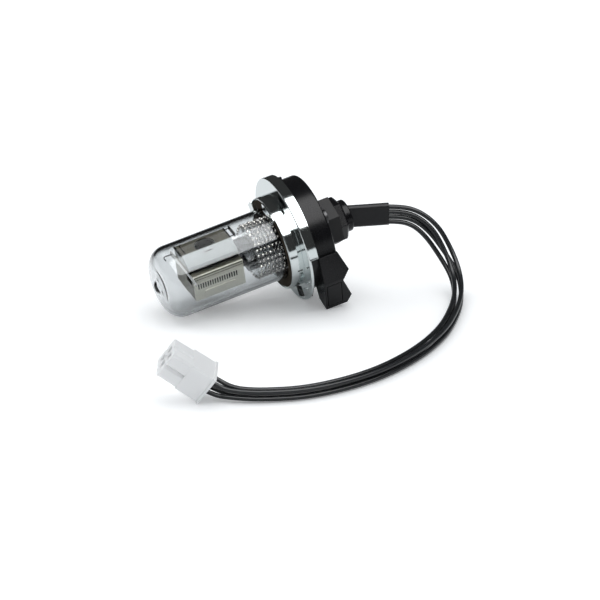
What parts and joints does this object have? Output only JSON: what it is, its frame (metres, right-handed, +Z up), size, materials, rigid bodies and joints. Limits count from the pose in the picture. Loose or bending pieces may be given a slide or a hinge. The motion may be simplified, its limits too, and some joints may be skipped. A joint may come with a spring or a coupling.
{
  "type": "deuterium lamp",
  "caption": "Glass arc lamp with a keyed metal flange and collar, a black rear cap with a cable gland, and a short wire tail ending in a nylon plug.",
  "frame": {"origin": "on the floor under the middle of the lamp without its tail: the middle of its length and width, at z = 0", "axes": "the lamp lies along X with its glass towards -X and its gland towards +X; -Y is the side of the tag; +Z up"},
  "size_m": [0.1477, 0.1213, 0.0483],
  "materials": {
    "glass": "clear fused-quartz lamp glass, fire polished",
    "nickel_plate": "bright nickel plate on pressed steel",
    "nickel_sheet": "vacuum-fired nickel sheet, dark and satin",
    "pale_sheet": "pale oxide-coated sheet",
    "ceramic": "dense white alumina",
    "rod_metal": "drawn nickel-iron wire",
    "cement": "lamp basing cement",
    "black_plastic": "moulded black thermoset, satin",
    "black_rubber": "black moulded gland rubber",
    "sleeve_black": "shrunk polyolefin tube",
    "wire_black": "black wire insulation",
    "nylon": "natural nylon, slightly translucent",
    "contact_metal": "tin-plated brass",
    "screw_steel": "blackened steel"
  },
  "bodies": {
    "root": {"glass_envelope": "glass", "glass_stem": "glass", "support_rods": "rod_metal", "mounting_flange": "nickel_plate", "collar_ring": "nickel_plate", "potting_ring": "cement", "rear_shield": "nickel_sheet", "front_shield": "pale_sheet", "ceramic_spacer": "ceramic", "aperture_plate": "nickel_sheet", "anode_plate": "nickel_sheet", "cathode_filament": "rod_metal", "centring_strap": "rod_metal", "getter_loop": "rod_metal", "rear_cap": "black_plastic", "cap_screws": "screw_steel", "tag_holder": "black_plastic", "tag_panel": "black_plastic", "gland_base": "black_rubber", "gland_nut": "black_plastic", "gland_ring": "black_plastic", "heat_shrink_sleeve": "sleeve_black", "lead_wire_1": "wire_black", "lead_wire_2": "wire_black", "lead_wire_3": "wire_black", "lead_wire_4": "wire_black", "plug_housing": "nylon", "plug_contacts": "contact_metal"}
  },
  "joints": []
}
